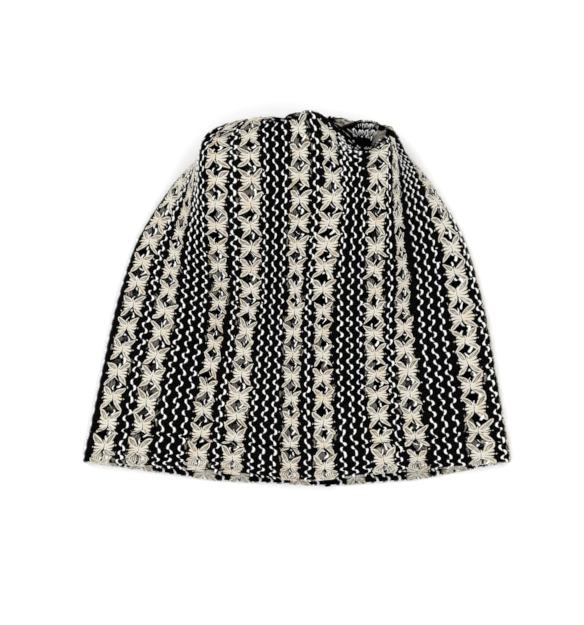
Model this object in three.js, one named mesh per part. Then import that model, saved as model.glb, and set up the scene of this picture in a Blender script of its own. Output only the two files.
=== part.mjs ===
// A slouchy hat of knitted mesh, lying on its back: a tube of striped lace knit, turned in at the
// hem and gathered into a sunken crown. Millimetres, +Z up, crown towards +Y, mouth towards -Y.
import * as THREE from 'three';

// Driving dimensions.
const ROUND = 554;              // cloth round the head at the hem
const CLOTH = 2;                // thickness of the knit
const CROWN_CLOTH = 1.2;        // where it is drawn thin into the gathers
const THINS_FROM = 170;         // along the cloth, where it starts to be drawn thin
const GAP = 0.3;                // air between pieces that lie on each other
const SIDE_GAP = 1;             // cloth left out between two spans, which crowds together up the hat
const END_GAP = 2.2;            // cloth left out between the body and the crown
const HEM_DEPTH = 22;           // how far the hem is turned in
const CROWN_FROM = 222;         // where the crown's own solid takes over, along the cloth
const CROWN_HOLE = 266.5;       // where the gathers stop, just short of closing
const CREASE_SOFTNESS = 7.5;    // half the cloth over which a fold is rounded
const BACK_WAVE = 6;            // height of the waves in the cloth underneath
const BACK_WAVES = 3;
const WAVES_RIGHT = 272;        // the waves lie between these places round the hat
const WAVES_LEFT = 527;
const WAVES_FROM = 120;         // along the cloth, where the back starts to wave
const WAVES_FULL = 205;
const WAVES_END = 236;
const WAVE_SHAPE = 1.5;         // how late the waves rise
const WAVE_RIGHT_SHARE = 0.25;  // height of the first wave on the right, as a part of the full height
const GATHERS = 9;              // one for each wide black band, which sinks as the crown draws in
const GATHER_DEPTH = 5;
const FIRST_GATHER = 41;        // the middle of the first wide band
const FIRST_DEPTH = 1;          // the first gather lies under the left ridge, which holds it out
const GATHERS_FROM = 200;       // along the cloth, where the bands start to sink
const GATHERS_FULL = 240;
const GATHER_SHAPE = 1.5;       // how narrow each gather is

// Sections along the cloth from the hem edge to the gather. The first six cut the body across,
// and middleY is where the middle of the front layer lies in each.
const SECTIONS = [
  { name: 'hem',      along: 0,   middleY: -114 },
  { name: 'band',     along: 45,  middleY: -71 },
  { name: 'waist',    along: 95,  middleY: -24 },
  { name: 'body',     along: 145, middleY: 23 },
  { name: 'shoulder', along: 185, middleY: 61 },
  { name: 'top',      along: 225, middleY: 101 },
  { name: 'crest',    along: 241 },
  { name: 'rim',      along: 255 },
  { name: 'gather',   along: 268 },
];
const BODY_SECTIONS = 6;
const GATHER = [42, 96, 16];    // the point that the crown is drawn in to

// A row for each fold line, in order round the hat. around is its place on the cloth; x and z are
// where it lies in the six body sections, and bow is how far it lies ahead of the middle of the
// front at the hem, waist, shoulder and top. crest and rim are its points in the crown.
const BOW_AT = [0, 95, 185, 225];
const FOLDS = [
  { name: 'left upper edge', around: -11, bow: [10.5, 16, 14, -8],
    x: [-136, -126, -116, -102, -77, -57], z: [10, 10, 10, 10, 12, 24],
    crest: [-46, 108, 27], rim: [-15, 112, 23] },
  { name: 'left ridge', around: 52, bow: [6.5, 8, 2, -1],
    x: [-71, -66, -57, -58, -61, -62], z: [17, 19, 26, 39, 49, 44],
    crest: [-48, 111, 42], rim: [-14, 113, 30] },
  { name: 'centre crease', around: 130, bow: [-1.5, 0, 0, 2],
    x: [7, 7, 7, 9, 13, 12], z: [17, 18, 20, 28, 41, 47],
    crest: [7, 122, 42], rim: [23, 113, 30] },
  { name: 'crown notch', around: 160, bow: [2, 0, 0, -7],
    x: [38, 36, 34, 35, 37, 38], z: [17, 19, 23, 33, 45, 31],
    crest: [39, 96, 26], rim: [40, 95, 23] },
  { name: 'right ridge', around: 194, bow: [5, 3, 1, -2],
    x: [70, 66, 62, 62, 61, 60], z: [17, 20, 26, 38, 48, 42],
    crest: [58, 104, 36], rim: [51, 99, 26] },
  { name: 'right foot', around: 209, bow: [6, 6, 3, -7],
    x: [85, 81, 75, 71, 66, 64], z: [17, 18, 21, 26, 34, 33],
    crest: [63, 101, 30], rim: [55, 102, 26] },
  { name: 'right upper edge', around: 256, bow: [10.5, 15, 15, -12],
    x: [136.5, 128.5, 120.5, 107.5, 84, 71], z: [10, 10, 10, 10, 12, 20],
    crest: [65, 100, 22], rim: [57, 107, 25] },
  { name: 'right lower edge', around: 268, bow: [10.5, 15, 15, -12],
    x: [136.5, 128.5, 120.5, 107.5, 84, 71], z: [0, 0, 0, 0, 2, 8],
    crest: [65, 105, 14], rim: [57, 112, 23] },
  { name: 'back right', around: 322, bow: [-1, 0, 0, -5],
    x: [76, 72, 66, 58, 46, 40], z: [0, 0, 0, 0, 0, 4],
    crest: [44, 111, 12], rim: [47, 114, 23] },
  { name: 'back middle', around: 378, bow: [-5, -3, -2, -3],
    x: [20, 18, 16, 14, 12, 10], z: [0, 0, 0, 0, 0, 3],
    crest: [14, 115, 11], rim: [31, 114.5, 20] },
  { name: 'back left', around: 450, bow: [-1.5, 0, 0, -4],
    x: [-52, -50, -46, -40, -30, -24], z: [0, 0, 0, 0, 0, 4],
    crest: [-18, 112, 11], rim: [8, 116, 18] },
  { name: 'left lower edge', around: 531, bow: [10.5, 16, 14, -8],
    x: [-136, -126, -116, -102, -77, -57], z: [0, 0, 0, 0, 2, 8],
    crest: [-44, 108, 12], rim: [-12, 114, 17] },
];

function rampBetween(places, values, at) {
  const last = places.length - 1;
  const i = Math.min(Math.max(places.findIndex((place) => place > at) - 1, 0), last - 1);
  const from = at >= places[last] ? last - 1 : i;
  const part = (at - places[from]) / (places[from + 1] - places[from]);
  return values[from] + (values[from + 1] - values[from]) * Math.min(Math.max(part, 0), 1);
}

// The control net: a point for each fold line in each section.
function netColumn(fold) {
  const points = SECTIONS.slice(0, BODY_SECTIONS).map(({ along, middleY }, i) => (
    new THREE.Vector3(fold.x[i], middleY + rampBetween(BOW_AT, fold.bow, along), fold.z[i])));
  points.push(new THREE.Vector3(...fold.crest));
  points.push(new THREE.Vector3(...fold.rim));
  points.push(new THREE.Vector3(...GATHER));
  return points;
}

const NET = FOLDS.map((fold) => ({ around: fold.around, points: netColumn(fold) }));
NET.push({ around: NET[0].around + ROUND, points: NET[0].points });

// A point on the net with its folds still sharp. Ahead of the hem the net runs straight on.
function sharpPoint(around, along) {
  const first = NET[0].around;
  const place = first + THREE.MathUtils.euclideanModulo(around - first, ROUND);
  let i = NET.length - 2;
  while (NET[i].around > place) i -= 1;
  let j = SECTIONS.length - 2;
  while (j > 0 && SECTIONS[j].along > along) j -= 1;
  const s = (place - NET[i].around) / (NET[i + 1].around - NET[i].around);
  const t = (along - SECTIONS[j].along) / (SECTIONS[j + 1].along - SECTIONS[j].along);
  const lower = NET[i].points[j].clone().lerp(NET[i + 1].points[j], s);
  const upper = NET[i].points[j + 1].clone().lerp(NET[i + 1].points[j + 1], s);
  return lower.lerp(upper, t);
}

// The cloth underneath waves up into the hat towards the crown, more on the left.
function waveHeight(around, along) {
  const place = THREE.MathUtils.euclideanModulo(around, ROUND);
  const across = THREE.MathUtils.clamp((place - WAVES_RIGHT) / (WAVES_LEFT - WAVES_RIGHT), 0, 1);
  const rise = THREE.MathUtils.clamp((along - WAVES_FROM) / (WAVES_FULL - WAVES_FROM), 0, 1) ** WAVE_SHAPE;
  const fade = THREE.MathUtils.clamp((WAVES_END - along) / (WAVES_END - WAVES_FULL), 0, 1);
  const bump = (1 - Math.cos(2 * Math.PI * BACK_WAVES * across)) / 2;
  return BACK_WAVE * rise * fade * THREE.MathUtils.lerp(WAVE_RIGHT_SHARE, 1, across) * bump;
}

// How far a wide band sinks under the cloth beside it, near the crown.
function gatherSink(around, along) {
  const rise = THREE.MathUtils.smoothstep(along, GATHERS_FROM, GATHERS_FULL);
  const close = 1 - THREE.MathUtils.smoothstep(along, GATHERS_FULL, CROWN_HOLE);
  const turn = (2 * Math.PI * GATHERS * (around - FIRST_GATHER)) / ROUND;
  const depth = Math.abs(turn) < Math.PI ? FIRST_DEPTH : GATHER_DEPTH;
  return depth * rise * close * ((1 + Math.cos(turn)) / 2) ** GATHER_SHAPE;
}

// The cloth's outer face before the crown's gathers: the net with every fold rounded off.
const ROUNDING = [1, 2, 3, 4, 3, 2, 1];
const BLENDING = [1, 2, 3, 2, 1];
const BLEND_AT = [0, 200, 225, 268];
const BLEND_REACH = [24, 16, 9, 6];
function roundedPoint(around, along) {
  const reach = rampBetween(BLEND_AT, BLEND_REACH, along);
  const point = new THREE.Vector3();
  let total = 0;
  ROUNDING.forEach((weightAround, a) => {
    BLENDING.forEach((weightAlong, b) => {
      const u = around + (a / 3 - 1) * CREASE_SOFTNESS;
      const v = Math.min(along + (b / 2 - 1) * reach, SECTIONS.at(-1).along);
      point.addScaledVector(sharpPoint(u, v), weightAround * weightAlong);
      total += weightAround * weightAlong;
    });
  });
  point.divideScalar(total);
  point.z += waveHeight(around, along);
  return point;
}

// The way out of the cloth, from its slopes over a millimetre each way.
function clothNormal(around, along, point) {
  const aroundStep = point(around + 1, along).sub(point(around - 1, along));
  const alongStep = point(around, along + 1).sub(point(around, along - 1));
  return aroundStep.cross(alongStep).normalize();
}

function clothPoint(around, along) {
  const point = roundedPoint(around, along);
  if (along <= GATHERS_FROM) return point;
  const sink = gatherSink(around, along);
  return point.addScaledVector(clothNormal(around, along, roundedPoint), -sink);
}

// A piece of cloth between two depths under the outer face, as one closed body. A closed ring
// needs no side walls; an open piece has them.
function clothPiece({ around, along, depth, stepsAround, stepsAlong, ring = false }) {
  const columns = ring ? stepsAround : stepsAround + 1;
  const rows = stepsAlong + 1;
  const positions = [];
  for (const level of depth) {
    for (let i = 0; i < columns; i += 1) {
      for (let j = 0; j < rows; j += 1) {
        const u = THREE.MathUtils.lerp(around[0], around[1], i / stepsAround);
        const v = THREE.MathUtils.lerp(along[0], along[1], j / stepsAlong);
        const thinned = level * rampBetween([THINS_FROM, CROWN_FROM], [1, CROWN_CLOTH / CLOTH], v);
        const point = clothPoint(u, v).addScaledVector(clothNormal(u, v, clothPoint), -thinned);
        positions.push(point.x, point.y, point.z);
      }
    }
  }
  const index = [];
  const at = (level, i, j) => level * columns * rows + (i % columns) * rows + j;
  const quad = (a, b, c, d) => index.push(a, b, c, a, c, d);
  for (let i = 0; i < stepsAround; i += 1) {
    for (let j = 0; j < stepsAlong; j += 1) {
      quad(at(0, i, j), at(0, i + 1, j), at(0, i + 1, j + 1), at(0, i, j + 1));
      quad(at(1, i, j), at(1, i, j + 1), at(1, i + 1, j + 1), at(1, i + 1, j));
    }
    quad(at(0, i, 0), at(1, i, 0), at(1, i + 1, 0), at(0, i + 1, 0));
    quad(at(0, i, stepsAlong), at(0, i + 1, stepsAlong), at(1, i + 1, stepsAlong), at(1, i, stepsAlong));
  }
  if (!ring) {
    for (let j = 0; j < stepsAlong; j += 1) {
      quad(at(0, 0, j), at(0, 0, j + 1), at(1, 0, j + 1), at(1, 0, j));
      quad(at(0, stepsAround, j), at(1, stepsAround, j), at(1, stepsAround, j + 1), at(0, stepsAround, j + 1));
    }
  }
  const geometry = new THREE.BufferGeometry();
  geometry.setAttribute('position', new THREE.Float32BufferAttribute(positions, 3));
  geometry.setIndex(index);
  geometry.computeVertexNormals();
  return geometry;
}

const blackKnit = { color: 0x16161a, roughness: 0.92, metalness: 0 };
const creamKnit = { color: 0xd8d0be, roughness: 0.95, metalness: 0 };

function addPiece(group, name, finish, shape) {
  const mesh = new THREE.Mesh(clothPiece(shape), new THREE.MeshStandardMaterial(finish));
  mesh.name = name;
  group.add(mesh);
}

// The tube is split along its ridges and its lower edges, so that each solid is a simple sheet.
// Each span has its outer cloth and the hem that is turned in under it.
const LEFT_EDGE = -36;
const LEFT_RIDGE = 40;
const RIGHT_RIDGE = 218;
const RIGHT_EDGE = 281;
const SPANS = [
  { name: 'left_side', around: [LEFT_EDGE, LEFT_RIDGE], stepsAround: 14 },
  { name: 'front', around: [LEFT_RIDGE, RIGHT_RIDGE], stepsAround: 26 },
  { name: 'right_side', around: [RIGHT_RIDGE, RIGHT_EDGE], stepsAround: 12 },
  { name: 'back', around: [RIGHT_EDGE, LEFT_EDGE + ROUND], stepsAround: 28 },
];
const BODY_STEPS = 18;          // the same in every span, so that neighbouring cut edges run alike
const HEM_STEPS = 2;
const CROWN_STEPS_AROUND = 72;
const CROWN_STEPS_UP = 8;

const group = new THREE.Group();
for (const { name, around, stepsAround } of SPANS) {
  const span = [around[0] + SIDE_GAP / 2, around[1] - SIDE_GAP / 2];
  addPiece(group, `${name}_layer`, blackKnit, {
    around: span, along: [0, CROWN_FROM - END_GAP], depth: [0, CLOTH],
    stepsAround, stepsAlong: BODY_STEPS });
  addPiece(group, `${name}_hem_turn_in`, creamKnit, {
    around: span, along: [0, HEM_DEPTH], depth: [CLOTH + GAP, 2 * CLOTH + GAP],
    stepsAround, stepsAlong: HEM_STEPS });
}
addPiece(group, 'gathered_crown', blackKnit, {
  around: [LEFT_EDGE, LEFT_EDGE + ROUND], along: [CROWN_FROM, CROWN_HOLE], depth: [0, CLOTH],
  stepsAround: CROWN_STEPS_AROUND, stepsAlong: CROWN_STEPS_UP, ring: true });

export default group;
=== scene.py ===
import math

import bpy
import numpy as np
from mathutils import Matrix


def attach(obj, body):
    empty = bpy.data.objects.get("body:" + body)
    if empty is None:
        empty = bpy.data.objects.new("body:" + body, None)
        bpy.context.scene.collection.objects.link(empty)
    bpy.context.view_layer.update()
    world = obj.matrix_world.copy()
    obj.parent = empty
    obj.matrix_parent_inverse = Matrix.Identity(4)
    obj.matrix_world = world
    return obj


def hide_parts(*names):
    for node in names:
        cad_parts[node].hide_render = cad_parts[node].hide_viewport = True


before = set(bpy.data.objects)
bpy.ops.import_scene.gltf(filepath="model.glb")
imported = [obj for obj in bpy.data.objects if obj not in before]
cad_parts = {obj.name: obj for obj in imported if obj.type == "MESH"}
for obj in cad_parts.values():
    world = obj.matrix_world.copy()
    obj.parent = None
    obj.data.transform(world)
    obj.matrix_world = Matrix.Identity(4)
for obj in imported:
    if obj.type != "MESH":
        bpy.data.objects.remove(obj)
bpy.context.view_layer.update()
bpy.ops.object.select_all(action="DESELECT")

# The table that the hat lies on, the light over it and the eye above it.
# The table is a plain pale sheet, far wider than the hat. The light is a soft box on each side and
# a pale room, and the eye looks straight down with the crown at the top.
MM = 0.001
EYE_HEIGHT = 3000 * MM
EYE_ASIDE = -2.8 * MM
EYE_DOWN = -8.8 * MM
FRAME_WIDTH = 584
MM_A_PIXEL = 0.632
EYE_SEES_TO = 20
TABLE_SIZE = 6000 * MM
TABLE_PALE = (0.93, 0.93, 0.93, 1)
ROOM_STRENGTH = 0.85
SOFT_BOXES = (
    # place in metres, size in metres, strength in watts
    ((-0.9, 0.8, 1.5), 1.2, 15.0),
    ((1.0, 0.2, 1.6), 1.4, 9.0),
    ((0.0, -1.2, 1.7), 1.4, 9.0),
)

bpy.ops.mesh.primitive_plane_add(size=TABLE_SIZE, location=(0, 0, 0))
table = bpy.context.object
table.name = "table"
pale = bpy.data.materials.new("pale_table")
pale.use_nodes = True
pale_shader = pale.node_tree.nodes["Principled BSDF"]
pale_shader.inputs["Base Color"].default_value = TABLE_PALE
pale_shader.inputs["Roughness"].default_value = 0.9
table.data.materials.append(pale)

for place, size, watts in SOFT_BOXES:
    bpy.ops.object.light_add(type="AREA", location=place)
    box = bpy.context.object
    box.data.size = size
    box.data.energy = watts
    aim = -box.location.normalized()
    box.rotation_euler = aim.to_track_quat("-Z", "Y").to_euler()

room = bpy.data.worlds.new("pale_room")
room.use_nodes = True
room_light = room.node_tree.nodes["Background"]
room_light.inputs["Color"].default_value = (1, 1, 1, 1)
room_light.inputs["Strength"].default_value = ROOM_STRENGTH
bpy.context.scene.world = room
bpy.context.scene.view_settings.view_transform = "Standard"

bpy.ops.object.camera_add(location=(EYE_ASIDE, EYE_DOWN, EYE_HEIGHT), rotation=(0, 0, 0))
eye = bpy.context.object
eye.data.sensor_fit = "HORIZONTAL"
eye.data.angle = 2 * math.atan(FRAME_WIDTH * MM_A_PIXEL * MM / 2 / EYE_HEIGHT)
eye.data.clip_end = EYE_SEES_TO
bpy.context.scene.camera = eye

# The hat's form as it lies: one tube of cloth round which places are counted in mm of hem, and up
# which they are counted in mm from the hem's edge. It is drawn between twelve fold lines, a row for
# each, and every stitch below is laid on it.
ROUND = 554
SECTIONS = (0, 45, 95, 145, 185, 225, 241, 255, 268)
MIDDLE_Y = (-114, -71, -24, 23, 61, 101)
BOW_AT = (0, 95, 185, 225)
GATHER = (42, 96, 16)
FOLDS = (
    # name, around, bow, x and z in the six body sections, crest and rim of the crown
    ("left upper edge", -11, (10.5, 16, 14, -8), (-136, -126, -116, -102, -77, -57),
     (10, 10, 10, 10, 12, 24), (-46, 108, 27), (-15, 112, 23)),
    ("left ridge", 52, (6.5, 8, 2, -1), (-71, -66, -57, -58, -61, -62),
     (17, 19, 26, 39, 49, 44), (-48, 111, 42), (-14, 113, 30)),
    ("centre crease", 130, (-1.5, 0, 0, 2), (7, 7, 7, 9, 13, 12),
     (17, 18, 20, 28, 41, 47), (7, 122, 42), (23, 113, 30)),
    ("crown notch", 160, (2, 0, 0, -7), (38, 36, 34, 35, 37, 38),
     (17, 19, 23, 33, 45, 31), (39, 96, 26), (40, 95, 23)),
    ("right ridge", 194, (5, 3, 1, -2), (70, 66, 62, 62, 61, 60),
     (17, 20, 26, 38, 48, 42), (58, 104, 36), (51, 99, 26)),
    ("right foot", 209, (6, 6, 3, -7), (85, 81, 75, 71, 66, 64),
     (17, 18, 21, 26, 34, 33), (63, 101, 30), (55, 102, 26)),
    ("right upper edge", 256, (10.5, 15, 15, -12), (136.5, 128.5, 120.5, 107.5, 84, 71),
     (10, 10, 10, 10, 12, 20), (65, 100, 22), (57, 107, 25)),
    ("right lower edge", 268, (10.5, 15, 15, -12), (136.5, 128.5, 120.5, 107.5, 84, 71),
     (0, 0, 0, 0, 2, 8), (65, 105, 14), (57, 112, 23)),
    ("back right", 322, (-1, 0, 0, -5), (76, 72, 66, 58, 46, 40),
     (0, 0, 0, 0, 0, 4), (44, 111, 12), (47, 114, 23)),
    ("back middle", 378, (-5, -3, -2, -3), (20, 18, 16, 14, 12, 10),
     (0, 0, 0, 0, 0, 3), (14, 115, 11), (31, 114.5, 20)),
    ("back left", 450, (-1.5, 0, 0, -4), (-52, -50, -46, -40, -30, -24),
     (0, 0, 0, 0, 0, 4), (-18, 112, 11), (8, 116, 18)),
    ("left lower edge", 531, (10.5, 16, 14, -8), (-136, -126, -116, -102, -77, -57),
     (0, 0, 0, 0, 2, 8), (-44, 108, 12), (-12, 114, 17)),
)
CREASE_SOFTNESS = 7.5
BLEND_AT = (0, 200, 225, 268)
BLEND_REACH = (24, 16, 9, 6)
ROUND_WEIGHTS = (1, 2, 3, 4, 3, 2, 1)
UP_WEIGHTS = (1, 2, 3, 2, 1)
BACK_WAVE = 6
BACK_WAVES = 3
WAVES_RIGHT, WAVES_LEFT = 272, 527
WAVES_FROM, WAVES_FULL, WAVES_END = 120, 205, 236
WAVE_SHAPE = 1.5
RIGHT_WAVE_SHARE = 0.25
GATHERS = 9
GATHER_DEPTH = 5
GATHER_SHAPE = 1.5
FIRST_GATHER = 41
FIRST_DEPTH = 1
GATHERS_FROM, GATHERS_FULL, CROWN_HOLE = 200, 240, 266.5
AHEAD_OF_HEM = 30
LEAST_LENGTH = 1e-9

fold_places = np.array([fold[1] for fold in FOLDS] + [FOLDS[0][1] + ROUND], float)
fold_rows = []
for name, around, bow, across, height, crest, rim in FOLDS:
    ahead = np.interp(SECTIONS[:len(MIDDLE_Y)], BOW_AT, bow)
    body_rows = list(zip(across, np.add(MIDDLE_Y, ahead), height))
    fold_rows.append(body_rows + [crest, rim, GATHER])
net = np.array(fold_rows + fold_rows[:1], float)
section_places = np.array(SECTIONS, float)


def sharp_form(around, along):
    place = (around - fold_places[0]) % ROUND + fold_places[0]
    i = np.clip(np.searchsorted(fold_places, place, side="right") - 1, 0, len(fold_places) - 2)
    j = np.clip(np.searchsorted(section_places, along, side="right") - 1, 0, len(SECTIONS) - 2)
    s = ((place - fold_places[i]) / (fold_places[i + 1] - fold_places[i]))[..., None]
    t = ((along - section_places[j]) / (section_places[j + 1] - section_places[j]))[..., None]
    lower = net[i, j] * (1 - s) + net[i + 1, j] * s
    upper = net[i, j + 1] * (1 - s) + net[i + 1, j + 1] * s
    return lower * (1 - t) + upper * t


def smooth_step(value, low, high):
    part = np.clip((value - low) / (high - low), 0, 1)
    return part * part * (3 - 2 * part)


def rounded_form(around, along):
    reach = np.interp(along, BLEND_AT, BLEND_REACH)
    total = 0
    for a, round_weight in zip(np.linspace(-1, 1, len(ROUND_WEIGHTS)), ROUND_WEIGHTS):
        for b, up_weight in zip(np.linspace(-1, 1, len(UP_WEIGHTS)), UP_WEIGHTS):
            upto = np.minimum(along + b * reach, SECTIONS[-1])
            total += round_weight * up_weight * sharp_form(around + a * CREASE_SOFTNESS, upto)
    form = total / (sum(ROUND_WEIGHTS) * sum(UP_WEIGHTS))
    across = np.clip((around % ROUND - WAVES_RIGHT) / (WAVES_LEFT - WAVES_RIGHT), 0, 1)
    rise = np.clip((along - WAVES_FROM) / (WAVES_FULL - WAVES_FROM), 0, 1) ** WAVE_SHAPE
    fade = np.clip((WAVES_END - along) / (WAVES_END - WAVES_FULL), 0, 1)
    bump = (1 - np.cos(2 * np.pi * BACK_WAVES * across)) / 2
    share = RIGHT_WAVE_SHARE + (1 - RIGHT_WAVE_SHARE) * across
    form[..., 2] += BACK_WAVE * rise * fade * share * bump
    return form


def outward(grid, around_step, along_step):
    round_slope = (np.roll(grid, -1, axis=0) - np.roll(grid, 1, axis=0)) / (2 * around_step)
    up_slope = np.gradient(grid, along_step, axis=1)
    normal = np.cross(round_slope, up_slope)
    return normal / np.maximum(np.linalg.norm(normal, axis=-1, keepdims=True), LEAST_LENGTH)


CHART_STEP = 1.0
chart_round = np.arange(0, ROUND, CHART_STEP)
chart_up = np.arange(-AHEAD_OF_HEM, SECTIONS[-1] + CHART_STEP / 2, CHART_STEP)
chart_grid = np.meshgrid(chart_round, chart_up, indexing="ij")
chart = rounded_form(*chart_grid)
turn = 2 * np.pi * GATHERS * (chart_grid[0] - FIRST_GATHER) / ROUND
under_ridge = np.abs(chart_grid[0] - FIRST_GATHER) < ROUND / GATHERS / 2
sink = np.where(under_ridge, FIRST_DEPTH, GATHER_DEPTH) * ((1 + np.cos(turn)) / 2) ** GATHER_SHAPE
sink *= smooth_step(chart_grid[1], GATHERS_FROM, GATHERS_FULL)
sink *= 1 - smooth_step(chart_grid[1], GATHERS_FULL, CROWN_HOLE)
chart -= outward(chart, CHART_STEP, CHART_STEP) * sink[..., None]
chart_out = outward(chart, CHART_STEP, CHART_STEP)
just_below_top = len(chart_up) - 1.001


def read_chart(table_of, around, along):
    u = (around % ROUND) / CHART_STEP
    v = np.clip((along + AHEAD_OF_HEM) / CHART_STEP, 0, just_below_top)
    i, j = np.floor(u).astype(int), np.floor(v).astype(int)
    s, t = (u - i)[..., None], (v - j)[..., None]
    i, near = i % len(chart_round), (i + 1) % len(chart_round)
    low = table_of[i, j] * (1 - s) + table_of[near, j] * s
    high = table_of[i, j + 1] * (1 - s) + table_of[near, j + 1] * s
    return low * (1 - t) + high * t


# The black ground: an open knit of fine matt yarn with a diamond hole between each star and the
# next, made as one tube. It is turned in at the hem and drawn together in the crown, and here it is
# a grid laid on the form, slit at each hole, opened and given its thickness.
STAR_PITCH = 14.7
FIRST_STAR = 9
STAR_COLUMNS = (0, 23, 60, 82, 119, 141, 179, 201, 241, 263, 300, 322, 360, 396, 434, 456, 494, 516)
BACK_SEAM = 378
GROUND_TOP = 1.1
GROUND_THICKNESS = 0.9
FOLD_RADIUS = 2.3
FOLD_WRAP = 4.4
HEM_DEPTH = 22
CROWN_END = 267.4
HOLE_HALF = 6.0
HOLE_OPEN = 2.4
FIRST_HOLE_ROW, PAST_HOLE_ROW = -1, 18
HOLES_FROM, HOLES_TO = -16, 262
GRID_ROUND = 2.5
STEPS_A_STAR = 6
GRID_UP = STAR_PITCH / STEPS_A_STAR
LAST_STEP = 0.5
STITCH_LINE = 21
STITCH_SINK = 0.9
SINK_REACH = 1.4
STITCH_PULL = 0.45
PULL_REACH = 4
DRIFT_ROWS = (-5.7, 9, 53, 97, 127, 156, 185, 215, 230, 244)
DRIFT = (
    # around, then at each of those rows how far the knit has shifted up, and to the right, and how
    # wide its stars are drawn
    (0, (5.5, 1.5, 4.5, 4.2, 4, 3.3, 1.5, 0, 0, 0), (1, 1, 0.5, 1, 0.5, 0.5, 0.5, 0, 0, 0),
     (1, 1, 1, 1.05, 1.2, 1.3, 1.4, 1.4, 1.4, 1.4)),
    (23, (5.5, 1.5, 3.5, 3, 1, -1.5, -3.5, -3, -3, 0), (0, 0, 0.5, 1, 2.3, 3.5, 7, 6, 9, 11),
     (1, 1, 1, 1, 0.95, 0.8, 0.8, 0.8, 0.8, 0.8)),
    (49, (7, 1.5, 1.7, 0.9, -1.4, -4.7, -4.8, -2.5, -5, -9),
     (0, 0, 0.9, 1.1, 3.6, 2.5, 4.1, 5.5, 11, 14), (1, 1, 0.9, 0.9, 0.9, 1, 1, 1, 1, 1)),
    (60, (7.5, 1.5, 0.9, 0, -2.4, -6, -5.4, -2.3, -6, -13), (0, 0, 1, 1.2, 4.2, 2, 2.9, 3.4, 4, 6),
     (1, 1, 0.9, 0.8, 0.8, 1.05, 1.15, 1.2, 1.2, 1.2)),
    (82, (7.5, 1.5, -2.3, -3, -5, -5, -4.5, -2.8, -4.3, -6), (0, 0, 1, 1.6, 4.6, 5, 4.3, 5.5, 4, 0),
     (1, 1.05, 1.05, 1, 1.2, 1.15, 1.1, 1.05, 1.05, 1.05)),
    (119, (5.5, 0, -0.3, -0.8, -2, -1.3, -0.3, -2, -2, 0), (0, 0, -0.3, 0, 0.5, 0, -0.3, 0, 0, 0),
     (0.9, 0.9, 0.9, 1, 0.9, 1.1, 1.05, 1, 1, 1)),
    (141, (5.5, -1, -0.5, 0.3, -1, 0, 0.5, 0, 0, 0),
     (-0.5, -0.5, -1, -1, -1.3, -0.5, 1, -0.5, 0.5, 0),
     (1, 1, 0.95, 0.9, 1.1, 1.25, 1.25, 0.9, 0.85, 0.85)),
    (179, (3, 0, 0.4, -1.9, -3, -3, 0, 4, 4, 0), (0, -0.4, -2.1, -1.3, -0.8, -1, -0.5, 1, 1, 0),
     (1.15, 1.15, 1.15, 1.1, 1, 1.15, 1.3, 1.6, 1.6, 1.6)),
    (201, (5.5, -1, -1.5, -0.5, -0.5, -2, 0, 0, 0, 0),
     (0, -0.5, -0.9, -1.2, 1.2, -0.7, -1.5, -1.5, -1, 0),
     (1, 1, 1, 1, 0.8, 0.75, 0.75, 0.75, 0.75, 0.75)),
    (241, (2, -2.5, -2.5, -2, -1, 0.8, 0.5, 0, 0, 0), (-2, -2.2, -2.6, -2, -0.8, 4, 11, 17, 17, 16),
     (1, 1, 1.05, 1.15, 1.15, 1.1, 1.1, 1, 1, 1)),
    (263, (1.3, -1.6, -1.6, -1.3, -0.6, 0.5, 0.3, 0, 0, 0),
     (2, 3, 3.5, 3.5, 3.5, 4, 7, 10.7, 10.7, 10), (1,) * 10),
    (300, (0,) * 10, (0,) * 10, (1,) * 10),
    (516, (0,) * 10, (0,) * 10, (1,) * 10),
)
UV_UNIT = 10
STAR_BAND_HALF = 8.5
STAR_BAND_FADE = 3
MERGE_WITHIN = 0.003 * MM
WALE_WIDTH = 2.6
COURSES_A_STAR = 8
LEG_SLANT = 1.3
LEG_SWING, LEG_MIDDLE = 0.3, 0.6
LEG_SWELL, LEG_EDGE = 0.8, 0.2
BLACK_YARN_AND_KNIT_SHADE_TONES = (
    # how far along the ramp, then the colour there, the low end painted shade in the knit's hollows
    (0.62, (0.0002, 0.0002, 0.0003, 1)),
    (1.0, (0.0055, 0.0053, 0.0054, 1)),
)
# How much the knit relief's height lightens the black: painted shade, darker in the knit's hollows.
KNIT_SHADE_IN_TONE = 0.6
SHOWING_THROUGH = (0.62, 0.57, 0.46, 1)

drift_places = [row[0] for row in DRIFT]
drift_chart = np.empty(chart.shape[:2] + (3,))
for axis, part in enumerate((2, 1, 3)):
    by_fold = np.array([np.interp(chart_up, DRIFT_ROWS, row[part]) for row in DRIFT])
    for j in range(len(chart_up)):
        drift_chart[:, j, axis] = np.interp(chart_round, drift_places, by_fold[:, j], period=ROUND)
chart_stretch = np.linalg.norm(np.gradient(chart, CHART_STEP, axis=0), axis=-1, keepdims=True)
chart_tangent = np.gradient(chart, CHART_STEP, axis=1)
tangent_length = np.linalg.norm(chart_tangent, axis=-1, keepdims=True)
chart_tangent /= np.maximum(tangent_length, LEAST_LENGTH)


def lay(around, along, depth):
    around, along, depth = (np.asarray(value, float) for value in (around, along, depth))
    drift = read_chart(drift_chart, around, along)
    around, along = around + drift[..., 0], along + drift[..., 1]
    from_line = along - STITCH_LINE
    depth = depth + STITCH_SINK * np.exp(-((from_line / SINK_REACH) ** 2))
    along = along - STITCH_PULL * from_line * np.exp(-((from_line / PULL_REACH) ** 2))
    turned = np.clip((FOLD_RADIUS - along) / FOLD_WRAP, 0, 1) * np.pi
    beyond = np.maximum(FOLD_RADIUS - FOLD_WRAP - along, 0)
    place = np.maximum(along, FOLD_RADIUS) + beyond
    out = read_chart(chart_out, around, place)
    up = read_chart(chart_tangent, around, place)
    arm = (FOLD_RADIUS - depth)[..., None]
    swing = out * np.cos(turned)[..., None] - up * np.sin(turned)[..., None]
    laid = read_chart(chart, around, place) - out * FOLD_RADIUS + arm * swing
    laid[..., 2] = np.maximum(laid[..., 2], 0)
    return laid * MM


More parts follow.
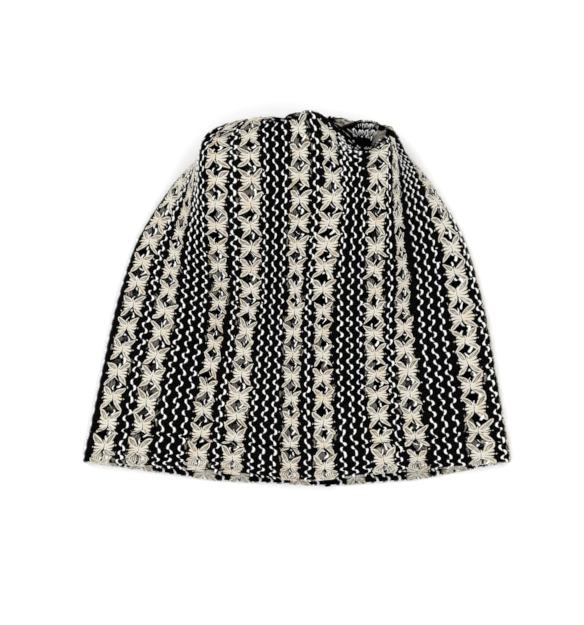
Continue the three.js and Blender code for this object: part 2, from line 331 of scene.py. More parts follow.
around_lines = []
for column, following in zip(STAR_COLUMNS, STAR_COLUMNS[1:] + (ROUND,)):
    around_lines += [column - HOLE_HALF, column - HOLE_HALF / 2, column, column + HOLE_HALF / 2]
    gap = following - column - 2 * HOLE_HALF
    steps = math.ceil(gap / GRID_ROUND)
    around_lines += [column + HOLE_HALF + gap * i / steps for i in range(steps)]
cut = next(i for i, line in enumerate(around_lines) if line > BACK_SEAM)
around_lines = np.array(around_lines[cut:] + [line + ROUND for line in around_lines[:cut + 1]])

first_hole = FIRST_STAR - STAR_PITCH / 2
hole_rows = [first_hole + STAR_PITCH * row for row in range(FIRST_HOLE_ROW, PAST_HOLE_ROW)]
along_lines = [(FOLD_RADIUS * 2 - FOLD_WRAP - HEM_DEPTH, 0)]
for middle in hole_rows:
    along_lines += [(middle, -1), (middle, 1)]
    along_lines += [(middle + GRID_UP * i, 0) for i in range(1, STEPS_A_STAR)]
along_lines = [line for line in along_lines if line[0] < CROWN_END - LAST_STEP]
along_lines.append((CROWN_END, 0))
along_places = np.array([line[0] for line in along_lines])
along_sides = np.array([line[1] for line in along_lines])

bpy.ops.mesh.primitive_grid_add(
    x_subdivisions=len(around_lines) - 1, y_subdivisions=len(along_lines) - 1, size=2)
ground = bpy.context.object
ground.name = "black_ground"
mesh = ground.data
flat = np.empty(len(mesh.vertices) * 3)
mesh.vertices.foreach_get("co", flat)
flat = flat.reshape(-1, 3)
column_at = np.rint((flat[:, 0] + 1) / 2 * (len(around_lines) - 1)).astype(int)
row_at = np.rint((flat[:, 1] + 1) / 2 * (len(along_lines) - 1)).astype(int)
around, along, side = around_lines[column_at], along_places[row_at], along_sides[row_at]

beside_columns = (around[:, None] - np.array(STAR_COLUMNS) + ROUND / 2) % ROUND - ROUND / 2
from_column = np.min(np.abs(beside_columns), axis=1)
from_hole = (along - first_hole + STAR_PITCH / 2) % STAR_PITCH - STAR_PITCH / 2
has_hole = (along > HOLES_FROM) & (along < HOLES_TO)
push = HOLE_OPEN * np.clip(1 - from_column / HOLE_HALF, 0, 1) * has_hole
push *= np.clip(1 - np.abs(from_hole) / (STAR_PITCH / 2), 0, 1)
along = along + push * np.where(side == 0, np.sign(from_hole), side)
spots = lay(around, along, np.full_like(along, GROUND_TOP))
drawn_shut = row_at == len(along_lines) - 1
spots[drawn_shut] = spots[drawn_shut].mean(axis=0)
mesh.vertices.foreach_set("co", spots.ravel())

corner = np.empty(len(mesh.loops), int)
mesh.loops.foreach_get("vertex_index", corner)
chart_uv = mesh.uv_layers.active or mesh.uv_layers.new(name="cloth")
chart_uv.name = "cloth"
flat_places = np.stack([around[corner], along[corner]], axis=1)
chart_uv.data.foreach_set("uv", flat_places.ravel() / UV_UNIT)
star_band = mesh.attributes.new("star_band", "FLOAT", "POINT")
band_share = np.clip((STAR_BAND_HALF - from_column) / STAR_BAND_FADE, 0, 1)
star_band.data.foreach_set("value", band_share)

bpy.ops.object.mode_set(mode="EDIT")
bpy.ops.mesh.select_all(action="DESELECT")
bpy.ops.object.mode_set(mode="OBJECT")
for face in mesh.polygons:
    sides = {int(side[i]) for i in face.vertices}
    face.select = sides == {-1, 1}
bpy.ops.object.mode_set(mode="EDIT")
bpy.ops.mesh.select_mode(type="FACE")
bpy.ops.mesh.delete(type="ONLY_FACE")
bpy.ops.mesh.select_mode(type="VERT")
bpy.ops.mesh.select_all(action="SELECT")
bpy.ops.mesh.remove_doubles(threshold=MERGE_WITHIN)
bpy.ops.object.mode_set(mode="OBJECT")
bpy.ops.object.shade_smooth()

knit = bpy.data.node_groups.new("knit_relief", "ShaderNodeTree")
knit.interface.new_socket("Wale", in_out="INPUT", socket_type="NodeSocketFloat")
knit.interface.new_socket("Course", in_out="INPUT", socket_type="NodeSocketFloat")
knit.interface.new_socket("Height", in_out="OUTPUT", socket_type="NodeSocketFloat")
knit_in = knit.nodes.new("NodeGroupInput")
knit_out = knit.nodes.new("NodeGroupOutput")
knit_uv = knit.nodes.new("ShaderNodeUVMap")
knit_uv.uv_map = "cloth"
knit_axes = knit.nodes.new("ShaderNodeSeparateXYZ")
knit.links.new(knit_uv.outputs["UV"], knit_axes.inputs[0])


def knit_math(operation, first, second=None, third=None):
    node = knit.nodes.new("ShaderNodeMath")
    node.operation = operation
    for socket, value in zip(node.inputs, (first, second, third)):
        if isinstance(value, bpy.types.NodeSocket):
            knit.links.new(value, socket)
        elif value is not None:
            socket.default_value = value
    return node.outputs[0]


wale = knit_math("MULTIPLY", knit_axes.outputs["X"], knit_in.outputs["Wale"])
wale_part = knit_math("ABSOLUTE", knit_math("SUBTRACT", knit_math("FRACT", wale), 0.5))
course = knit_math("MULTIPLY", knit_axes.outputs["Y"], knit_in.outputs["Course"])
slanting = knit_math("MULTIPLY_ADD", wale_part, LEG_SLANT, course)
legs = knit_math("SINE", knit_math("MULTIPLY", slanting, 2 * math.pi))
legs = knit_math("MULTIPLY_ADD", legs, LEG_SWING, LEG_MIDDLE)
leg_round = knit_math("SINE", knit_math("MULTIPLY", wale_part, 2 * math.pi))
leg_round = knit_math("MULTIPLY_ADD", leg_round, LEG_SWELL, LEG_EDGE)
knit.links.new(knit_math("MULTIPLY", legs, leg_round), knit_out.inputs["Height"])

black = bpy.data.materials.new("black_ground_knit")
black.use_nodes = True
nodes, links = black.node_tree.nodes, black.node_tree.links
black_shader = nodes["Principled BSDF"]
black_shader.inputs["Roughness"].default_value = 0.85
black_shader.inputs["Specular IOR Level"].default_value = 0.015
black_position = nodes.new("ShaderNodeTexCoord")
lint = nodes.new("ShaderNodeTexNoise")
lint.inputs["Scale"].default_value = 900
lint.inputs["Detail"].default_value = 4
links.new(black_position.outputs["Object"], lint.inputs["Vector"])
knit_shade_ramp = nodes.new("ShaderNodeValToRGB")
for element, (position, colour) in zip(knit_shade_ramp.color_ramp.elements, BLACK_YARN_AND_KNIT_SHADE_TONES):
    element.position = position
    element.color = colour
links.new(knit_shade_ramp.outputs["Color"], black_shader.inputs["Base Color"])
stitches = nodes.new("ShaderNodeGroup")
stitches.node_tree = knit
stitches.inputs["Wale"].default_value = UV_UNIT / WALE_WIDTH
stitches.inputs["Course"].default_value = UV_UNIT * COURSES_A_STAR / STAR_PITCH
# The knit relief's height goes into the colour as painted shade, darker between the stitch legs,
# with random lint tone added.
knit_shade_and_lint = nodes.new("ShaderNodeMath")
knit_shade_and_lint.operation = "MULTIPLY_ADD"
knit_shade_and_lint.inputs[1].default_value = KNIT_SHADE_IN_TONE
links.new(stitches.outputs["Height"], knit_shade_and_lint.inputs[0])
links.new(lint.outputs["Fac"], knit_shade_and_lint.inputs[2])
links.new(knit_shade_and_lint.outputs[0], knit_shade_ramp.inputs["Fac"])
relief = nodes.new("ShaderNodeBump")
relief.inputs["Strength"].default_value = 0.9
relief.inputs["Distance"].default_value = 0.7 * MM
links.new(stitches.outputs["Height"], relief.inputs["Height"])
links.new(relief.outputs["Normal"], black_shader.inputs["Normal"])

wrong_side = black.copy()
wrong_side.name = "wrong_side_of_knit"
nodes, links = wrong_side.node_tree.nodes, wrong_side.node_tree.links
behind_stars = nodes.new("ShaderNodeAttribute")
behind_stars.attribute_name = "star_band"
patches = nodes.new("ShaderNodeTexNoise")
patches.inputs["Scale"].default_value = 220
patches.inputs["Detail"].default_value = 3
links.new(nodes["Texture Coordinate"].outputs["Object"], patches.inputs["Vector"])
patch_edge = nodes.new("ShaderNodeMapRange")
patch_edge.inputs["From Min"].default_value = 0.42
patch_edge.inputs["From Max"].default_value = 0.56
links.new(patches.outputs["Fac"], patch_edge.inputs["Value"])
patchy = nodes.new("ShaderNodeMath")
patchy.operation = "MULTIPLY"
links.new(behind_stars.outputs["Fac"], patchy.inputs[0])
links.new(patch_edge.outputs["Result"], patchy.inputs[1])
through = nodes.new("ShaderNodeMix")
through.data_type = "RGBA"
through.inputs["B"].default_value = SHOWING_THROUGH
links.new(patchy.outputs[0], through.inputs["Factor"])
links.new(nodes["Color Ramp"].outputs["Color"], through.inputs["A"])
links.new(through.outputs["Result"], nodes["Principled BSDF"].inputs["Base Color"])

ground.data.materials.append(black)
ground.data.materials.append(wrong_side)
wall = ground.modifiers.new("thickness", "SOLIDIFY")
wall.thickness = GROUND_THICKNESS * MM
wall.offset = -1
wall.material_offset = 1
bpy.ops.object.modifier_apply(modifier=wall.name)
ground.select_set(False)
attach(ground, "root")
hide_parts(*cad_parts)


# The stars: one eight-petalled motif of thick cream yarn at each step of each column, knitted over
# the ground between the holes. A star's strands are bevelled curves, made once, and every star is a
# copy of them laid on the cloth, turned, stretched and bent a little out of true.
UPPER_PETAL = (
    # the strand's thickness in mm, then its points: across, up and height over the ground
    (1.05, ((1.3, 0.7, 0.44), (3.8, 2.6, 0.54), (6.1, 4.8, 0.50), (7.0, 7.1, 0.40))),
    (1.05, ((0.6, 1.8, 0.44), (2.2, 4.3, 0.54), (4.7, 6.2, 0.50), (6.9, 7.0, 0.40))),
    (1.50, ((1.1, 1.3, 0.00), (3.1, 3.5, 0.05), (5.7, 5.8, 0.00))),
)
LOWER_PETAL = (
    (1.00, ((1.2, -0.8, 0.44), (3.6, -2.8, 0.54), (5.8, -5.0, 0.50), (6.8, -7.1, 0.40))),
    (1.00, ((0.7, -1.6, 0.44), (2.4, -4.1, 0.54), (4.7, -6.0, 0.50), (6.7, -7.0, 0.40))),
    (1.40, ((1.1, -1.2, 0.00), (3.1, -3.5, 0.05), (5.6, -5.8, 0.00))),
)
FINGERS = (
    (1.85, ((0.3, 0.7, 0.32), (3.7, 1.9, 0.36), (5.6, 2.3, 0.28))),
    (1.85, ((0.3, -0.7, 0.32), (3.6, -1.75, 0.36), (5.4, -2.1, 0.28))),
    (1.85, ((0.6, 0.1, 0.36), (4.1, 0.1, 0.42), (6.0, 0.2, 0.32))),
    (0.90, ((6.5, 0.5, 0.40), (6.9, 0.2, 0.45), (7.1, -0.2, 0.35))),
)
HEART = (
    (1.60, ((-1.1, -2.4, 0.40), (-0.7, 0.2, 0.45), (-1.0, 2.4, 0.40))),
    (1.60, ((1.0, -2.3, 0.40), (0.7, 0.1, 0.45), (1.1, 2.5, 0.40))),
    (1.10, ((0.0, 1.2, 0.45), (0.1, 2.2, 0.50), (-0.1, 3.6, 0.35))),
)
LAST_STARS = (15, 16, 16, 16, 16, 15, 14, 15, 14, 16, 16, 16, 14, 14, 14, 14, 14, 14)
STAR_PIECES = (
    # the side of the hat, then its first column and the one past its last
    ("left", 0, 6),
    ("right", 6, 12),
    ("back", 12, 18),
)
STRAND_BENDS = 2
STRAND_ENDS = 0.76
STRAND_MERGE = 0.001
STAR_STRAY = 0.3
SKEW = 0.055
BOW_REACH = 8
RIPPLE = 6
RIPPLE_TURN = 0.9
CREAM_TONES = (
    # how far along the ramp, then the colour there, darker as painted shade on the strands' low
    # sides
    (0.36, (0.10, 0.09, 0.072, 1)),
    (0.66, (0.25, 0.23, 0.185, 1)),
    (0.95, (0.60, 0.57, 0.49, 1)),
)
CREAM_STAIN = (0.97, 0.87, 0.77, 1)
# The yarn tone follows each vertex's rise over the ground and the ply twist: painted shade, darker
# on a strand's low sides and in the grooves between plies.
PLY_SHADE_IN_TONE = 0.12
STAR_IN_TONE = 0.12
rng = np.random.default_rng(7)


def strands_of(name, rows, bends=STRAND_BENDS, ends=STRAND_ENDS):
    curve = bpy.data.curves.new(name, "CURVE")
    curve.dimensions = "3D"
    curve.bevel_depth = 0.5
    curve.bevel_resolution = 1
    curve.resolution_u = bends
    curve.use_fill_caps = True
    for thickness, points in rows:
        spline = curve.splines.new("BEZIER")
        spline.bezier_points.add(len(points) - 1)
        for bezier, point in zip(spline.bezier_points, points):
            bezier.co = point
            bezier.radius = thickness
            bezier.handle_left_type = bezier.handle_right_type = "AUTO"
        spline.bezier_points[0].radius = thickness * ends
        spline.bezier_points[-1].radius = thickness * ends
    model = bpy.data.objects.new(name, curve)
    bpy.context.collection.objects.link(model)
    bpy.ops.object.select_all(action="DESELECT")
    bpy.context.view_layer.objects.active = model
    model.select_set(True)
    bpy.ops.object.convert(target="MESH")
    bpy.ops.object.mode_set(mode="EDIT")
    bpy.ops.mesh.select_all(action="SELECT")
    bpy.ops.mesh.remove_doubles(threshold=STRAND_MERGE)
    bpy.ops.object.mode_set(mode="OBJECT")
    return bpy.context.object


def knitted(name, model, around, along, skew, material, drawn=False, full_size=False):
    shape = model.data
    points = np.empty(len(shape.vertices) * 3)
    shape.vertices.foreach_get("co", points)
    points = points.reshape(-1, 3)
    count, size = len(around), len(points)
    across, up, height = points.T
    lean, widen, lift, bow, sag = (rng.normal(0, skew, (count, 1)) for i in range(5))
    phase_up, phase_across = (rng.uniform(0, 2 * math.pi, (count, 1)) for i in range(2))
    go_across = across * (1 + widen) + up * lean + bow * up * up / BOW_REACH
    go_across += skew * RIPPLE * np.sin(up * RIPPLE_TURN + phase_up)
    go_up = up * (1 + lift) - across * lean + sag * across * across / BOW_REACH
    go_up += skew * RIPPLE * np.sin(across * RIPPLE_TURN + phase_across)
    if drawn:
        go_across = go_across * read_chart(drift_chart, around, along)[:, 2:]
    if full_size:
        go_across = go_across / read_chart(chart_stretch, around, along)
    spots = lay(around[:, None] + go_across, along[:, None] + go_up,
                GROUND_TOP - np.broadcast_to(height, (count, size)))
    loops = np.empty(len(shape.loops), int)
    shape.loops.foreach_get("vertex_index", loops)
    starts = np.empty(len(shape.polygons), int)
    shape.polygons.foreach_get("loop_start", starts)
    uv = np.empty(len(loops) * 2)
    shape.uv_layers[0].data.foreach_get("uv", uv)
    copies = np.arange(count)[:, None]
    mesh = bpy.data.meshes.new(name)
    mesh.vertices.add(count * size)
    mesh.vertices.foreach_set("co", spots.ravel())
    mesh.loops.add(count * len(loops))
    mesh.loops.foreach_set("vertex_index", (loops + copies * size).ravel())
    mesh.polygons.add(count * len(starts))
    mesh.polygons.foreach_set("loop_start", (starts + copies * len(loops)).ravel())
    mesh.uv_layers.new(name="strand").data.foreach_set("uv", np.tile(uv, count))
    shade = mesh.attributes.new("shade", "FLOAT", "POINT")
    shade.data.foreach_set("value", np.repeat(rng.random(count), size))
    # Each vertex's height over the ground, which the yarn colour turns into painted shade on the
    # strands' low sides.
    rise = mesh.attributes.new("rise", "FLOAT", "POINT")
    rise.data.foreach_set("value", np.tile(height, count))
    mesh.update(calc_edges=True)
    mesh.validate()
    mesh.materials.append(material)
    piece = bpy.data.objects.new(name, mesh)
    bpy.context.collection.objects.link(piece)
    bpy.ops.object.select_all(action="DESELECT")
    bpy.context.view_layer.objects.active = piece
    piece.select_set(True)
    bpy.ops.object.shade_smooth()
    piece.select_set(False)
    return piece


ply = bpy.data.node_groups.new("plied_yarn", "ShaderNodeTree")
ply.interface.new_socket("Plies", in_out="INPUT", socket_type="NodeSocketFloat")
ply.interface.new_socket("Turns", in_out="INPUT", socket_type="NodeSocketFloat")
ply.interface.new_socket("Height", in_out="OUTPUT", socket_type="NodeSocketFloat")
ply_in = ply.nodes.new("NodeGroupInput")
ply_out = ply.nodes.new("NodeGroupOutput")
ply_uv = ply.nodes.new("ShaderNodeUVMap")
ply_uv.uv_map = "strand"
ply_axes = ply.nodes.new("ShaderNodeSeparateXYZ")
ply_round = ply.nodes.new("ShaderNodeMath")
ply_round.operation = "MULTIPLY"
ply_phase = ply.nodes.new("ShaderNodeMath")
ply_phase.operation = "MULTIPLY_ADD"
ply_angle = ply.nodes.new("ShaderNodeMath")
ply_angle.operation = "MULTIPLY"
ply_angle.inputs[1].default_value = 2 * math.pi
ply_wave = ply.nodes.new("ShaderNodeMath")
ply_wave.operation = "SINE"
ply_half = ply.nodes.new("ShaderNodeMath")
ply_half.operation = "MULTIPLY_ADD"
ply_half.inputs[1].default_value = 0.5
ply_half.inputs[2].default_value = 0.5
ply_links = (
    (ply_uv.outputs["UV"], ply_axes.inputs[0]),
    (ply_axes.outputs["X"], ply_round.inputs[0]),
    (ply_in.outputs["Plies"], ply_round.inputs[1]),
    (ply_axes.outputs["Y"], ply_phase.inputs[0]),
    (ply_in.outputs["Turns"], ply_phase.inputs[1]),
    (ply_round.outputs[0], ply_phase.inputs[2]),
    (ply_phase.outputs[0], ply_angle.inputs[0]),
    (ply_angle.outputs[0], ply_wave.inputs[0]),
    (ply_wave.outputs[0], ply_half.inputs[0]),
    (ply_half.outputs[0], ply_out.inputs["Height"]),
)
for start, end in ply_links:
    ply.links.new(start, end)

star_model = strands_of("star_model", [
    (thickness, [(across * mirror, up, height) for across, up, height in points])
    for mirror in (-1, 1)
    for thickness, points in UPPER_PETAL + LOWER_PETAL + FINGERS
] + list(HEART))

cream = bpy.data.materials.new("cream_star_yarn")
cream.use_nodes = True
nodes, links = cream.node_tree.nodes, cream.node_tree.links
cream_shader = nodes["Principled BSDF"]
cream_shader.inputs["Roughness"].default_value = 0.9
cream_shader.inputs["Specular IOR Level"].default_value = 0.2
cream_shader.inputs["Sheen Weight"].default_value = 0.25
cream_shader.inputs["Sheen Roughness"].default_value = 0.6
twist = nodes.new("ShaderNodeGroup")
twist.node_tree = ply
twist.inputs["Plies"].default_value = 2
twist.inputs["Turns"].default_value = 3
cream_position = nodes.new("ShaderNodeTexCoord")
fibres = nodes.new("ShaderNodeTexNoise")
fibres.inputs["Scale"].default_value = 1800
fibres.inputs["Detail"].default_value = 3
links.new(cream_position.outputs["Object"], fibres.inputs["Vector"])
rise = nodes.new("ShaderNodeAttribute")
rise.attribute_name = "rise"
star_shade = nodes.new("ShaderNodeAttribute")
star_shade.attribute_name = "shade"
# Painted shade: the strand's height and ply twist darken its low sides and ply grooves; the star's
# own random tone is added on top.
strand_shade = nodes.new("ShaderNodeMath")
strand_shade.operation = "MULTIPLY_ADD"
strand_shade.inputs[1].default_value = PLY_SHADE_IN_TONE
links.new(twist.outputs["Height"], strand_shade.inputs[0])
links.new(rise.outputs["Fac"], strand_shade.inputs[2])
tone = nodes.new("ShaderNodeMath")
tone.operation = "MULTIPLY_ADD"
tone.inputs[1].default_value = STAR_IN_TONE
links.new(star_shade.outputs["Fac"], tone.inputs[0])
links.new(strand_shade.outputs[0], tone.inputs[2])
wool = nodes.new("ShaderNodeValToRGB")
wool.color_ramp.elements.new(CREAM_TONES[1][0])
for element, (position, colour) in zip(wool.color_ramp.elements, CREAM_TONES):
    element.position = position
    element.color = colour
links.new(tone.outputs[0], wool.inputs["Fac"])
stained = nodes.new("ShaderNodeTexNoise")
stained.inputs["Scale"].default_value = 90
stained.inputs["Detail"].default_value = 2
links.new(cream_position.outputs["Object"], stained.inputs["Vector"])
warm_part = nodes.new("ShaderNodeMapRange")
warm_part.inputs["From Min"].default_value = 0.50
warm_part.inputs["From Max"].default_value = 0.72
links.new(stained.outputs["Fac"], warm_part.inputs["Value"])
warmed = nodes.new("ShaderNodeMix")
warmed.data_type = "RGBA"
warmed.blend_type = "MULTIPLY"
warmed.inputs["B"].default_value = CREAM_STAIN
links.new(warm_part.outputs["Result"], warmed.inputs["Factor"])
links.new(wool.outputs["Color"], warmed.inputs["A"])
links.new(warmed.outputs["Result"], cream_shader.inputs["Base Color"])
relief = nodes.new("ShaderNodeBump")
relief.inputs["Strength"].default_value = 0.6
relief.inputs["Distance"].default_value = 0.25 * MM
links.new(twist.outputs["Height"], relief.inputs["Height"])
fuzz = nodes.new("ShaderNodeBump")
fuzz.inputs["Strength"].default_value = 0.5
fuzz.inputs["Distance"].default_value = 0.15 * MM
links.new(fibres.outputs["Fac"], fuzz.inputs["Height"])
links.new(relief.outputs["Normal"], fuzz.inputs["Normal"])
links.new(fuzz.outputs["Normal"], cream_shader.inputs["Normal"])

star_rows = FIRST_STAR + STAR_PITCH * np.arange(-1, max(LAST_STARS) + 1)
for side, first, past in STAR_PIECES:
    places = [
        (STAR_COLUMNS[i], row)
        for i in range(first, past)
        for row in star_rows[:LAST_STARS[i] + 2]
    ]
    star_around, star_along = np.array(places, float).T
    star_around = star_around + rng.normal(0, STAR_STRAY, star_around.size)
    star_along = star_along + rng.normal(0, STAR_STRAY, star_along.size)
    stars = knitted(
        f"star_yarn_{side}", star_model, star_around, star_along, SKEW, cream, drawn=True)
    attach(stars, "root")
bpy.data.objects.remove(star_model)


# The star floats: loose strands of the cream yarn that run up behind the holes and beside the
# petals. They are bevelled curves, copied to some of the holes on the front.
FLOATS = (
    (1.5, ((-6.6, 4.0, -0.35), (-5.0, 7.3, -0.30), (-6.4, 10.4, -0.35))),
    (1.5, ((-5.2, 3.4, -0.35), (-3.3, 7.3, -0.35), (-5.0, 11.0, -0.35))),
    (1.3, ((-2.6, 5.0, -0.40), (-1.9, 7.3, -0.40), (-2.8, 9.6, -0.40))),
    (1.4, ((-7.3, 1.6, -0.25), (-6.6, 3.6, -0.20), (-7.4, 5.4, -0.25))),
)
FLOAT_PIECES = (
    # the side of the hole, the way the strands face, and the share of the holes that shows them
    ("left", 1, 0.5),
    ("right", -1, 0.35),
)
FRONT_COLUMNS = STAR_COLUMNS[:12]
FLOAT_SKEW = 0.1
for side, facing, share in FLOAT_PIECES:
    model = strands_of("float_model", [
        (thickness, [(across * facing, up, height) for across, up, height in points])
        for thickness, points in FLOATS
    ])
    float_grid = np.meshgrid(FRONT_COLUMNS, star_rows[:-1])
    float_around, float_along = (grid.ravel() for grid in float_grid)
    shown = rng.random(float_around.size) < share
    floats = knitted(
        f"star_floats_{side}", model, float_around[shown], float_along[shown], FLOAT_SKEW, cream)
    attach(floats, "root")
    bpy.data.objects.remove(model)


# The hem floats: at the hem's edge the star yarn lies close together behind the first holes, and
# shows there as a cream panel under each star. Its strands are bevelled curves side by side.
HEM_FLOATS_ACROSS = (-5.6, -4.2, -2.8, -1.4, 1.4, 2.8, 4.2, 5.6)
HEM_FLOAT_THICKNESS = 1.5
HEM_FLOAT_POINTS = (
    # how far they are spread there, up and height over the ground
    (0.9, -6.0, 0.0),
    (1.0, -1.0, 0.15),
    (0.75, 3.2, 0.0),
)
HEM_FLOAT_SKEW = 0.06
model = strands_of("hem_float_model", [
    (HEM_FLOAT_THICKNESS,
     [(across * spread, up, height) for spread, up, height in HEM_FLOAT_POINTS])
    for across in HEM_FLOATS_ACROSS
])
hem_around = np.array(STAR_COLUMNS, float)
hem_along = np.full(len(STAR_COLUMNS), first_hole)
hem_floats = knitted(
    "hem_floats", model, hem_around, hem_along, HEM_FLOAT_SKEW, cream, drawn=True)
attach(hem_floats, "root")
bpy.data.objects.remove(model)


# The zigzags: upright lines of white yarn that show as short slanting strokes, each stroke set to
# the side of the last. One runs between the columns of a pair and three between one pair and the
# next, and each stroke is a bevelled curve copied along the cloth.
ZIGZAG_START = -17
ZIGZAG_STEP = STAR_PITCH / 4
ZIGZAG_APART = 7.1
LEFT_EDGE_SHIFT = 4
PAIR_WITHIN = 30
STROKE_STRAY = 0.15
ZIGZAG_ENDS = (
    # as far round as this, the zigzags run up to there
    (60, 252),
    (155, 246),
    (162, 243),
    (172, 240),
    (201, 236),
    (ROUND, 244),
)
NOTCH_LEAN = (
    # around, then how far the strokes there lean to the left where they run up to the notch
    (141, 0.0),
    (153, 2.7),
    (160, 5.4),
    (167, 6.3),
    (172, 0.0),
)
LEANS_FROM, LEANS_FULL = 180, 212
LEFT_STROKE = (
    1.58, ((-0.3, 1.75, 0.20), (-1.35, 0.55, 0.45), (-1.2, -0.6, 0.45), (0.0, -1.8, 0.20)))
RIGHT_STROKE = (
    1.80, ((0.2, 1.85, 0.20), (1.35, 0.7, 0.45), (1.4, -0.6, 0.45), (0.3, -1.8, 0.20)))
STROKE_ENDS = 0.34
STROKE_PIECES = (
    # the side of the line, its stroke, and where the first one is
    ("left", LEFT_STROKE, ZIGZAG_START),
    ("right", RIGHT_STROKE, ZIGZAG_START + ZIGZAG_STEP),
)
# The white yarn's colours along the same ramp, darker at the low end as painted shade on the
# strands' low sides.
WHITE_TONES = ((0.15, 0.15, 0.15, 1), (0.42, 0.42, 0.41, 1), (0.74, 0.74, 0.72, 1))
WHITE_STAIN = (0.95, 0.95, 0.95, 1)

white = cream.copy()
white.name = "white_zigzag_yarn"
white.node_tree.nodes["Mix"].inputs["B"].default_value = WHITE_STAIN
white_ramp = white.node_tree.nodes["Color Ramp"].color_ramp
for element, colour in zip(white_ramp.elements, WHITE_TONES):
    element.color = colour

zigzag_columns = []
for column, following in zip(STAR_COLUMNS, STAR_COLUMNS[1:] + (ROUND,)):
    middle = (column + following) / 2
    if following - column < PAIR_WITHIN:
        zigzag_columns.append(middle)
    elif middle == BACK_SEAM:
        zigzag_columns += [middle - ZIGZAG_APART, middle + ZIGZAG_APART]
    elif following == ROUND:
        leftmost = middle - ZIGZAG_APART - LEFT_EDGE_SHIFT
        zigzag_columns += [leftmost + ZIGZAG_APART * i for i in range(3)]
    else:
        zigzag_columns += [middle - ZIGZAG_APART, middle, middle + ZIGZAG_APART]
highest_end = max(end for past, end in ZIGZAG_ENDS)
for side, stroke, start in STROKE_PIECES:
    model = strands_of("stroke_model", [stroke], ends=STROKE_ENDS)
    stroke_grid = np.meshgrid(zigzag_columns, np.arange(start, highest_end, 2 * ZIGZAG_STEP))
    stroke_around, stroke_along = (grid.ravel() for grid in stroke_grid)
    stroke_ends = np.array([
        next(end for past, end in ZIGZAG_ENDS if spot < past) for spot in stroke_around])
    below_end = stroke_along < stroke_ends
    stroke_around, stroke_along = stroke_around[below_end], stroke_along[below_end]
    leaning = np.interp(stroke_around, *zip(*NOTCH_LEAN))
    stroke_around = stroke_around - leaning * smooth_step(stroke_along, LEANS_FROM, LEANS_FULL)
    stroke_around = stroke_around + rng.normal(0, STROKE_STRAY, stroke_around.size)
    stroke_along = stroke_along + rng.normal(0, STROKE_STRAY, stroke_along.size)
    zigzag = knitted(f"zigzag_yarn_{side}", model, stroke_around, stroke_along, SKEW, white)
    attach(zigzag, "root")
    bpy.data.objects.remove(model)


# The crown stitches: where the knit is drawn together the zigzags end in rows of small white V
# stitches, which show on the wall of the sunken crown. Each is a bevelled curve at its full size.
CROWN_ROWS = (
    # how far up, then how far round the first and last stitches are, and how many there are
    (254.6, 292, 376, 10),
    (258.2, 296, 388, 9),
    (262.0, 260, 398, 8),
    (265.0, 250, 392, 4),
    (258.5, 151, 168, 3),
    (252.5, 153, 171, 4),
    (247.0, 157, 172, 3),
)
CROWN_STITCH = (0.9, ((-0.8, 1.3, 0.25), (0.0, -1.3, 0.40), (0.8, 1.3, 0.25)))
CROWN_STITCH_SKEW = 0.1
model = strands_of("crown_stitch_model", [CROWN_STITCH])
crown_around = np.concatenate([np.linspace(*row[1:]) for row in CROWN_ROWS])
crown_along = np.concatenate([np.full(row[3], row[0]) for row in CROWN_ROWS])
crown_stitches = knitted(
    "crown_stitches", model, crown_around, crown_along, CROWN_STITCH_SKEW, white, full_size=True)
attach(crown_stitches, "root")
bpy.data.objects.remove(model)


# The crown floats: a patch of loose cream strands side by side on the right wall of the sunken
# crown, where the star yarn is drawn in. They are bevelled curves laid on the cloth at full size.
CROWN_FLOATS = 6
CROWN_FLOAT_APART = 0.85
CROWN_FLOAT_THICKNESS = 1.0
CROWN_FLOAT_POINTS = ((-2.1, -4.0, -0.10), (-2.3, 0.0, 0.0), (-2.0, 3.5, -0.10))
CROWN_FLOAT_SKEW = 0.03
PATCH_AROUND = np.array([238.0])
PATCH_ALONG = np.array([259.5])
model = strands_of("crown_float_model", [
    (CROWN_FLOAT_THICKNESS,
     [(i * CROWN_FLOAT_APART + across, up, height) for across, up, height in CROWN_FLOAT_POINTS])
    for i in range(CROWN_FLOATS)
])
crown_floats = knitted(
    "crown_floats", model, PATCH_AROUND, PATCH_ALONG, CROWN_FLOAT_SKEW, cream, full_size=True)
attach(crown_floats, "root")
bpy.data.objects.remove(model)


# The hole stitches: loose loops of the same white yarn that stand in each diamond hole, with the
# small white knots at its corners. They are bevelled curves copied to every hole.
HOLE_STITCHES = (
    (1.20, ((-0.6, 4.4, 0.20), (0.1, 3.4, 0.35), (1.2, 2.5, 0.20))),
    (1.60, ((2.2, 2.3, 0.25), (2.7, 0.9, 0.40), (1.4, -1.2, 0.25))),
    (1.20, ((-0.6, -1.1, 0.20), (-0.7, -2.6, 0.40), (-0.3, -4.0, 0.40))),
    (0.95, ((-7.7, 0.3, 0.35), (-7.3, 0.0, 0.45), (-6.9, -0.3, 0.35))),
    (0.95, ((6.9, 0.3, 0.35), (7.3, 0.0, 0.45), (7.7, -0.3, 0.35))),
)
HOLE_STITCH_STRAY_ROUND = 0.5
HOLE_STITCH_STRAY_UP = 0.4
HOLE_STITCH_SKEW = 0.12
model = strands_of("hole_stitch_model", HOLE_STITCHES)
hole_grid = np.meshgrid(STAR_COLUMNS, star_rows[:-1] + STAR_PITCH / 2)
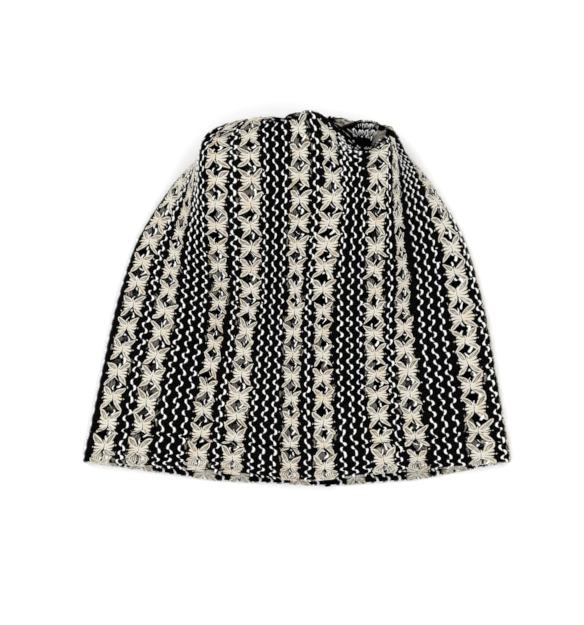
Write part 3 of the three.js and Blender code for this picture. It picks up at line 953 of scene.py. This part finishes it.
hole_around, hole_along = (grid.ravel() for grid in hole_grid)
hole_around = hole_around + rng.normal(0, HOLE_STITCH_STRAY_ROUND, hole_around.size)
hole_along = hole_along + rng.normal(0, HOLE_STITCH_STRAY_UP, hole_along.size)
hole_stitches = knitted(
    "hole_stitches", model, hole_around, hole_along, HOLE_STITCH_SKEW, white, drawn=True)
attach(hole_stitches, "root")
bpy.data.objects.remove(model)


# The topstitch: a row of black thread stitches that holds the turned-in hem, where the cloth is
# drawn in a little. Each stitch is a short bevelled curve over the yarns.
TOPSTITCH_STEP = 3.2
TOPSTITCH = (0.8, ((-1.5, 0, 0.6), (0, 0, 1.0), (1.5, 0, 0.6)))
TOPSTITCH_BENDS = 3
TOPSTITCH_SKEW = 0.03
model = strands_of("topstitch_model", [TOPSTITCH], bends=TOPSTITCH_BENDS)
black_thread = black.copy()
black_thread.name = "black_thread"
thread_shader = black_thread.node_tree.nodes["Principled BSDF"]
black_thread.node_tree.links.remove(thread_shader.inputs["Normal"].links[0])
thread_around = np.arange(0, ROUND, TOPSTITCH_STEP)
thread_along = np.full(len(thread_around), float(STITCH_LINE))
thread_along -= read_chart(drift_chart, thread_around, thread_along)[..., 1]
topstitch = knitted(
    "hem_topstitch", model, thread_around, thread_along, TOPSTITCH_SKEW, black_thread)
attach(topstitch, "root")
bpy.data.objects.remove(model)


# The back seam: the knit's two upright edges meet at the middle of the back and are joined by a
# row of black stitches that lie across the seam. Each stitch is a short bevelled curve.
SEAM_START, SEAM_END, SEAM_STEP = -2, 250, 3
SEAM_STITCH = (1.1, ((-1.8, -0.7, 0.3), (0, 0, 0.9), (1.8, -0.7, 0.3)))
SEAM_SKEW = 0.05
model = strands_of("seam_stitch_model", [SEAM_STITCH])
seam_along = np.arange(SEAM_START, SEAM_END, SEAM_STEP)
seam_around = np.full(len(seam_along), float(BACK_SEAM))
back_seam = knitted("back_seam", model, seam_around, seam_along, SEAM_SKEW, black_thread)
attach(back_seam, "root")
bpy.data.objects.remove(model)
